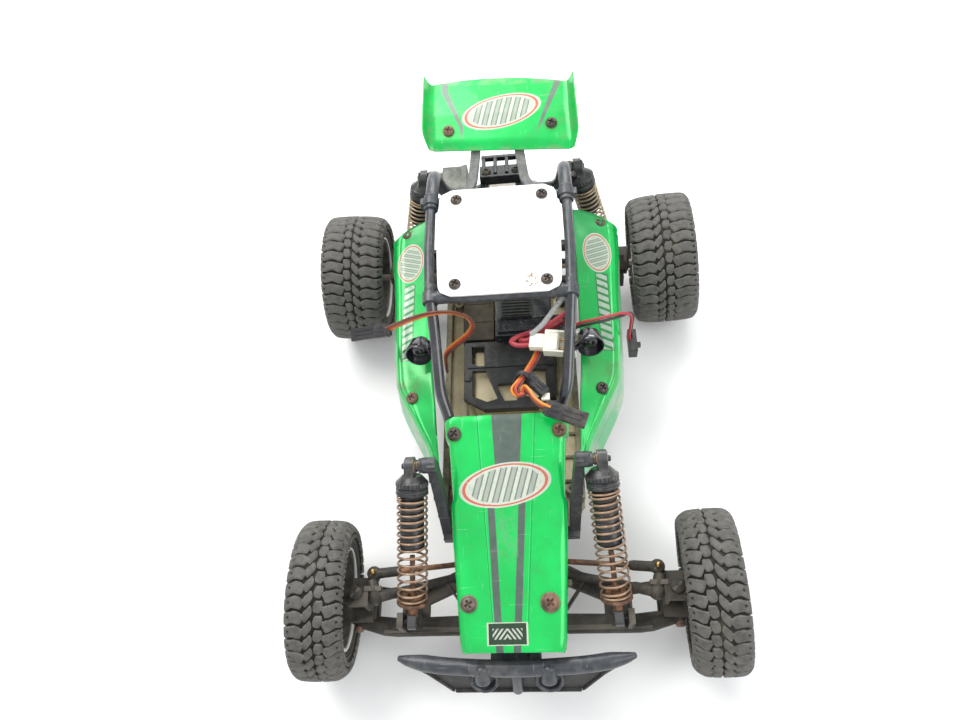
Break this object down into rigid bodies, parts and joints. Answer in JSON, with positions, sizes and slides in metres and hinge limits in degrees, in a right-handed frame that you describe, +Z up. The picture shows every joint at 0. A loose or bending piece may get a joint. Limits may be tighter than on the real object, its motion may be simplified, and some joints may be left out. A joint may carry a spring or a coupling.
{
  "type": "radio-controlled desert buggy",
  "caption": "Two-wheel-drive radio-controlled desert buggy with open tube cage, sprung arms, steering front wheels, geared rear drive and rear wing.",
  "frame": {"origin": "on the ground under the middle of the overall length and width", "axes": "+X to the driver's left, -Y to the nose, +Z up"},
  "size_m": [0.2308, 0.3135, 0.1314],
  "materials": {
    "chassis_tub": "black moulded nylon under brown dust",
    "front_shock_tower": "dark grey moulded nylon, dusty",
    "front_bumper": "dark grey moulded nylon, dusty",
    "nose_panel": "vivid green polycarbonate sheet, painted inside, dusty and scratched",
    "side_panel_left": "vivid green polycarbonate sheet, painted inside, dusty and scratched",
    "side_panel_right": "vivid green polycarbonate sheet, painted inside, dusty and scratched",
    "roof_panel": "white painted sheet, small brown marks",
    "rear_wing": "vivid green polycarbonate sheet, painted inside, dusty and scratched",
    "roll_cage": "dark grey moulded nylon, dusty",
    "battery_hold_down": "black moulded plastic",
    "speed_control": "black moulded plastic",
    "steering_servo": "black moulded plastic",
    "transmission_case": "dark grey moulded nylon, dusty",
    "rear_shock_tower": "dark grey moulded nylon, dusty",
    "motor": "plated steel can, dull",
    "gear_cover": "grey moulded nylon, dusty",
    "switch_housing": "black moulded plastic",
    "servo_horn": "off-white nylon",
    "steering_link": "grey moulded nylon, dusty",
    "switch_slider": "black moulded plastic",
    "spur_gear": "black nylon gear",
    "pinion_gear": "brass",
    "front_arm_left": "dark grey nylon caked with dry brown dust",
    "front_castor_block_left": "dark grey nylon caked with dry brown dust",
    "front_spindle_left": "dark grey nylon caked with dry brown dust",
    "front_camber_link_left": "dark grey nylon caked with dry brown dust",
    "tie_rod_left": "rusty steel rod",
    "front_wheel_left": "white moulded rim, dusty",
    "front_tyre_left": "dark grey rubber with brown dust between the lugs",
    "front_shock_body_left": "black moulded shock body and cap",
    "front_spring_left": "copper-coloured steel wire with rust",
    "front_shock_shaft_left": "steel rod with a black lower cup, dusty",
    "rear_arm_left": "dark grey nylon caked with dry brown dust",
    "rear_hub_carrier_left": "dark grey nylon caked with dry brown dust",
    "rear_camber_link_left": "dark grey nylon caked with dry brown dust",
    "driveshaft_left": "dull steel shaft with black boots",
    "rear_wheel_left": "white moulded rim, dusty",
    "rear_tyre_left": "dark grey rubber with brown dust between the lugs",
    "rear_shock_body_left": "black moulded shock body and cap",
    "rear_spring_left": "copper-coloured steel wire with rust",
    "rear_shock_shaft_left": "steel rod with a black lower cup, dusty",
    "front_arm_right": "dark grey nylon caked with dry brown dust",
    "front_castor_block_right": "dark grey nylon caked with dry brown dust",
    "front_spindle_right": "dark grey nylon caked with dry brown dust",
    "front_camber_link_right": "dark grey nylon caked with dry brown dust",
    "tie_rod_right": "rusty steel rod",
    "front_wheel_right": "white moulded rim, dusty",
    "front_tyre_right": "dark grey rubber with brown dust between the lugs",
    "front_shock_body_right": "black moulded shock body and cap",
    "front_spring_right": "copper-coloured steel wire with rust",
    "front_shock_shaft_right": "steel rod with a black lower cup, dusty",
    "rear_arm_right": "dark grey nylon caked with dry brown dust",
    "rear_hub_carrier_right": "dark grey nylon caked with dry brown dust",
    "rear_camber_link_right": "dark grey nylon caked with dry brown dust",
    "driveshaft_right": "dull steel shaft with black boots",
    "rear_wheel_right": "white moulded rim, dusty",
    "rear_tyre_right": "dark grey rubber with brown dust between the lugs",
    "rear_shock_body_right": "black moulded shock body and cap",
    "rear_spring_right": "copper-coloured steel wire with rust",
    "rear_shock_shaft_right": "steel rod with a black lower cup, dusty"
  },
  "bodies": {
    "chassis": {"chassis_tub": "chassis_tub", "front_shock_tower": "front_shock_tower", "front_bumper": "front_bumper", "nose_panel": "nose_panel", "side_panel_left": "side_panel_left", "side_panel_right": "side_panel_right", "roof_panel": "roof_panel", "rear_wing": "rear_wing", "roll_cage": "roll_cage", "battery_hold_down": "battery_hold_down", "speed_control": "speed_control", "steering_servo": "steering_servo", "transmission_case": "transmission_case", "rear_shock_tower": "rear_shock_tower", "motor": "motor", "gear_cover": "gear_cover", "switch_housing": "switch_housing"},
    "servo_horn": {"servo_horn": "servo_horn"},
    "steering_link": {"steering_link": "steering_link"},
    "switch_slider": {"switch_slider": "switch_slider"},
    "spur_gear": {"spur_gear": "spur_gear"},
    "pinion_gear": {"pinion_gear": "pinion_gear"},
    "front_arm_left": {"front_arm_left": "front_arm_left"},
    "front_castor_block_left": {"front_castor_block_left": "front_castor_block_left"},
    "front_spindle_left": {"front_spindle_left": "front_spindle_left"},
    "front_camber_link_left": {"front_camber_link_left": "front_camber_link_left"},
    "tie_rod_left": {"tie_rod_left": "tie_rod_left"},
    "front_wheel_left": {"front_wheel_left": "front_wheel_left", "front_tyre_left": "front_tyre_left"},
    "front_shock_body_left": {"front_shock_body_left": "front_shock_body_left", "front_spring_left": "front_spring_left"},
    "front_shock_shaft_left": {"front_shock_shaft_left": "front_shock_shaft_left"},
    "rear_arm_left": {"rear_arm_left": "rear_arm_left"},
    "rear_hub_carrier_left": {"rear_hub_carrier_left": "rear_hub_carrier_left"},
    "rear_camber_link_left": {"rear_camber_link_left": "rear_camber_link_left"},
    "driveshaft_left": {"driveshaft_left": "driveshaft_left"},
    "rear_wheel_left": {"rear_wheel_left": "rear_wheel_left", "rear_tyre_left": "rear_tyre_left"},
    "rear_shock_body_left": {"rear_shock_body_left": "rear_shock_body_left", "rear_spring_left": "rear_spring_left"},
    "rear_shock_shaft_left": {"rear_shock_shaft_left": "rear_shock_shaft_left"},
    "front_arm_right": {"front_arm_right": "front_arm_right"},
    "front_castor_block_right": {"front_castor_block_right": "front_castor_block_right"},
    "front_spindle_right": {"front_spindle_right": "front_spindle_right"},
    "front_camber_link_right": {"front_camber_link_right": "front_camber_link_right"},
    "tie_rod_right": {"tie_rod_right": "tie_rod_right"},
    "front_wheel_right": {"front_wheel_right": "front_wheel_right", "front_tyre_right": "front_tyre_right"},
    "front_shock_body_right": {"front_shock_body_right": "front_shock_body_right", "front_spring_right": "front_spring_right"},
    "front_shock_shaft_right": {"front_shock_shaft_right": "front_shock_shaft_right"},
    "rear_arm_right": {"rear_arm_right": "rear_arm_right"},
    "rear_hub_carrier_right": {"rear_hub_carrier_right": "rear_hub_carrier_right"},
    "rear_camber_link_right": {"rear_camber_link_right": "rear_camber_link_right"},
    "driveshaft_right": {"driveshaft_right": "driveshaft_right"},
    "rear_wheel_right": {"rear_wheel_right": "rear_wheel_right", "rear_tyre_right": "rear_tyre_right"},
    "rear_shock_body_right": {"rear_shock_body_right": "rear_shock_body_right", "rear_spring_right": "rear_spring_right"},
    "rear_shock_shaft_right": {"rear_shock_shaft_right": "rear_shock_shaft_right"}
  },
  "joints": [
    {"name": "servo_turn", "type": "hinge", "parent": "chassis", "child": "servo_horn", "pos_m": [0, -0.0865, 0.045], "axis": [0, 0, 1], "range_deg": [-25.6, 25.6]},
    {"name": "steering_link_slide", "type": "slide", "parent": "chassis", "child": "steering_link", "axis": [1, 0, 0], "range_m": [-0.00404, 0.00404]},
    {"name": "power_switch", "type": "slide", "parent": "chassis", "child": "switch_slider", "axis": [0, 1, 0], "range_m": [0, 0.003]},
    {"name": "drive", "type": "hinge", "parent": "chassis", "child": "spur_gear", "pos_m": [-0.022, 0.10725, 0.054], "axis": [1, 0, 0], "continuous": true},
    {"name": "pinion_spin", "type": "hinge", "parent": "chassis", "child": "pinion_gear", "pos_m": [-0.022, 0.1266, 0.054], "axis": [1, 0, 0], "continuous": true},
    {"name": "front_suspension_left", "type": "hinge", "parent": "chassis", "child": "front_arm_left", "pos_m": [0.014, -0.11475, 0.03], "axis": [0, -1, 0], "range_deg": [-10, 14]},
    {"name": "castor_block_pivot_left", "type": "hinge", "parent": "front_arm_left", "child": "front_castor_block_left", "pos_m": [0.08, -0.11475, 0.031], "axis": [0, -1, 0], "range_deg": [-7.65, 5.54]},
    {"name": "steering", "type": "hinge", "parent": "front_castor_block_left", "child": "front_spindle_left", "pos_m": [0.078, -0.11475, 0.039], "axis": [0, 0, 1], "range_deg": [-22.5, 22.5]},
    {"name": "front_camber_link_pivot_left", "type": "hinge", "parent": "chassis", "child": "front_camber_link_left", "pos_m": [0.026, -0.10575, 0.0425], "axis": [0, -1, 0], "range_deg": [-15.11, 20.88]},
    {"name": "tie_rod_pivot_left", "type": "hinge", "parent": "steering_link", "child": "tie_rod_left", "pos_m": [0.011, -0.10025, 0.049], "axis": [0, -1, 0], "range_deg": [-10.99, 15.18]},
    {"name": "front_wheel_spin_left", "type": "hinge", "parent": "front_spindle_left", "child": "front_wheel_left", "pos_m": [0.0955, -0.11475, 0.03935], "axis": [0.9936, 0, 0.1132], "continuous": true},
    {"name": "front_shock_pivot_left", "type": "hinge", "parent": "chassis", "child": "front_shock_body_left", "pos_m": [0.0441, -0.06555, 0.092], "axis": [0.8654, -0.247, 0.436], "range_deg": [-6.13, 4.44]},
    {"name": "front_shock_slide_left", "type": "slide", "parent": "front_shock_body_left", "child": "front_shock_shaft_left", "axis": [-0.0709, 0.8009, 0.5946], "range_m": [-0.00385, 0.00533], "deforming": ["front_spring_left"]},
    {"name": "rear_suspension_left", "type": "hinge", "parent": "chassis", "child": "rear_arm_left", "pos_m": [0.017, 0.08525, 0.03], "axis": [0, -1, 0], "range_deg": [-8, 14]},
    {"name": "rear_hub_pivot_left", "type": "hinge", "parent": "rear_arm_left", "child": "rear_hub_carrier_left", "pos_m": [0.068, 0.08525, 0.031], "axis": [0, -1, 0], "range_deg": [-18.59, 10.87]},
    {"name": "rear_camber_link_pivot_left", "type": "hinge", "parent": "chassis", "child": "rear_camber_link_left", "pos_m": [0.022, 0.07525, 0.058], "axis": [0, -1, 0], "range_deg": [-10.37, 17.75]},
    {"name": "driveshaft_swing_left", "type": "hinge", "parent": "chassis", "child": "driveshaft_left", "pos_m": [0.015, 0.08525, 0.039], "axis": [0, -1, 0], "range_deg": [-8.8, 15.05]},
    {"name": "rear_wheel_spin_left", "type": "hinge", "parent": "rear_hub_carrier_left", "child": "rear_wheel_left", "pos_m": [0.094, 0.08525, 0.0395], "axis": [0.9969, 0, 0.0785], "continuous": true},
    {"name": "rear_shock_pivot_left", "type": "hinge", "parent": "chassis", "child": "rear_shock_body_left", "pos_m": [0.0445, 0.11425, 0.095], "axis": [0.9663, 0.0798, 0.2446], "range_deg": [-2.47, 1.44]},
    {"name": "rear_shock_slide_left", "type": "slide", "parent": "rear_shock_body_left", "child": "rear_shock_shaft_left", "axis": [-0.2563, 0.2149, 0.9424], "range_m": [-0.00626, 0.0107], "deforming": ["rear_spring_left"]},
    {"name": "front_suspension_right", "type": "hinge", "parent": "chassis", "child": "front_arm_right", "pos_m": [-0.014, -0.11475, 0.03], "axis": [0, 1, 0], "range_deg": [-10, 14]},
    {"name": "castor_block_pivot_right", "type": "hinge", "parent": "front_arm_right", "child": "front_castor_block_right", "pos_m": [-0.08, -0.11475, 0.031], "axis": [0, 1, 0], "range_deg": [-7.65, 5.54]},
    {"name": "kingpin_right", "type": "hinge", "parent": "front_castor_block_right", "child": "front_spindle_right", "pos_m": [-0.078, -0.11475, 0.039], "axis": [0, 0, 1], "range_deg": [-22.9, 22.9]},
    {"name": "front_camber_link_pivot_right", "type": "hinge", "parent": "chassis", "child": "front_camber_link_right", "pos_m": [-0.026, -0.10575, 0.0425], "axis": [0, 1, 0], "range_deg": [-15.11, 20.88]},
    {"name": "tie_rod_pivot_right", "type": "hinge", "parent": "steering_link", "child": "tie_rod_right", "pos_m": [-0.011, -0.10025, 0.049], "axis": [0, 1, 0], "range_deg": [-10.99, 15.18]},
    {"name": "front_wheel_spin_right", "type": "hinge", "parent": "front_spindle_right", "child": "front_wheel_right", "pos_m": [-0.0955, -0.11475, 0.03935], "axis": [0.9936, 0, -0.1132], "continuous": true},
    {"name": "front_shock_pivot_right", "type": "hinge", "parent": "chassis", "child": "front_shock_body_right", "pos_m": [-0.0441, -0.06555, 0.092], "axis": [0.8654, 0.247, -0.436], "range_deg": [-6.13, 4.44]},
    {"name": "front_shock_slide_right", "type": "slide", "parent": "front_shock_body_right", "child": "front_shock_shaft_right", "axis": [0.0709, 0.8009, 0.5946], "range_m": [-0.00385, 0.00533], "deforming": ["front_spring_right"]},
    {"name": "rear_suspension_right", "type": "hinge", "parent": "chassis", "child": "rear_arm_right", "pos_m": [-0.017, 0.08525, 0.03], "axis": [0, 1, 0], "range_deg": [-8, 14]},
    {"name": "rear_hub_pivot_right", "type": "hinge", "parent": "rear_arm_right", "child": "rear_hub_carrier_right", "pos_m": [-0.068, 0.08525, 0.031], "axis": [0, 1, 0], "range_deg": [-18.59, 10.87]},
    {"name": "rear_camber_link_pivot_right", "type": "hinge", "parent": "chassis", "child": "rear_camber_link_right", "pos_m": [-0.022, 0.07525, 0.058], "axis": [0, 1, 0], "range_deg": [-10.37, 17.75]},
    {"name": "driveshaft_swing_right", "type": "hinge", "parent": "chassis", "child": "driveshaft_right", "pos_m": [-0.015, 0.08525, 0.039], "axis": [0, 1, 0], "range_deg": [-8.8, 15.05]},
    {"name": "rear_wheel_spin_right", "type": "hinge", "parent": "rear_hub_carrier_right", "child": "rear_wheel_right", "pos_m": [-0.094, 0.08525, 0.0395], "axis": [0.9969, 0, -0.0785], "continuous": true},
    {"name": "rear_shock_pivot_right", "type": "hinge", "parent": "chassis", "child": "rear_shock_body_right", "pos_m": [-0.0445, 0.11425, 0.095], "axis": [0.9663, -0.0798, -0.2446], "range_deg": [-2.47, 1.44]},
    {"name": "rear_shock_slide_right", "type": "slide", "parent": "rear_shock_body_right", "child": "rear_shock_shaft_right", "axis": [0.2563, 0.2149, 0.9424], "range_m": [-0.00626, 0.0107], "deforming": ["rear_spring_right"]}
  ],
  "couplings": [
    {"joint": "servo_turn", "follows": "steering", "ratio": -1.1111},
    {"joint": "steering_link_slide", "follows": "steering", "m_per_rad": -0.01},
    {"joint": "pinion_spin", "follows": "drive", "ratio": -3},
    {"joint": "castor_block_pivot_left", "follows": "front_suspension_left", "ratio": -0.52854},
    {"joint": "front_camber_link_pivot_left", "follows": "front_suspension_left", "ratio": 1.4422},
    {"joint": "tie_rod_pivot_left", "follows": "front_suspension_left", "ratio": 1.0484},
    {"joint": "front_shock_pivot_left", "follows": "front_suspension_left", "ratio": -0.42367},
    {"joint": "front_shock_slide_left", "follows": "front_suspension_left", "m_per_rad": 0.021074},
    {"joint": "rear_hub_pivot_left", "follows": "rear_suspension_left", "ratio": -1.2877},
    {"joint": "rear_camber_link_pivot_left", "follows": "rear_suspension_left", "ratio": 1.2291},
    {"joint": "driveshaft_swing_left", "follows": "rear_suspension_left", "ratio": 1.0424},
    {"joint": "rear_wheel_spin_left", "follows": "drive", "ratio": -1},
    {"joint": "rear_shock_pivot_left", "follows": "rear_suspension_left", "ratio": -0.17077},
    {"joint": "rear_shock_slide_left", "follows": "rear_suspension_left", "m_per_rad": 0.04246},
    {"joint": "castor_block_pivot_right", "follows": "front_suspension_right", "ratio": -0.52854},
    {"joint": "kingpin_right", "follows": "steering", "ratio": 1},
    {"joint": "front_camber_link_pivot_right", "follows": "front_suspension_right", "ratio": 1.4422},
    {"joint": "tie_rod_pivot_right", "follows": "front_suspension_right", "ratio": 1.0484},
    {"joint": "front_shock_pivot_right", "follows": "front_suspension_right", "ratio": -0.42367},
    {"joint": "front_shock_slide_right", "follows": "front_suspension_right", "m_per_rad": 0.021074},
    {"joint": "rear_hub_pivot_right", "follows": "rear_suspension_right", "ratio": -1.2877},
    {"joint": "rear_camber_link_pivot_right", "follows": "rear_suspension_right", "ratio": 1.2291},
    {"joint": "driveshaft_swing_right", "follows": "rear_suspension_right", "ratio": 1.0424},
    {"joint": "rear_wheel_spin_right", "follows": "drive", "ratio": -1},
    {"joint": "rear_shock_pivot_right", "follows": "rear_suspension_right", "ratio": -0.17077},
    {"joint": "rear_shock_slide_right", "follows": "rear_suspension_right", "m_per_rad": 0.04246}
  ]
}
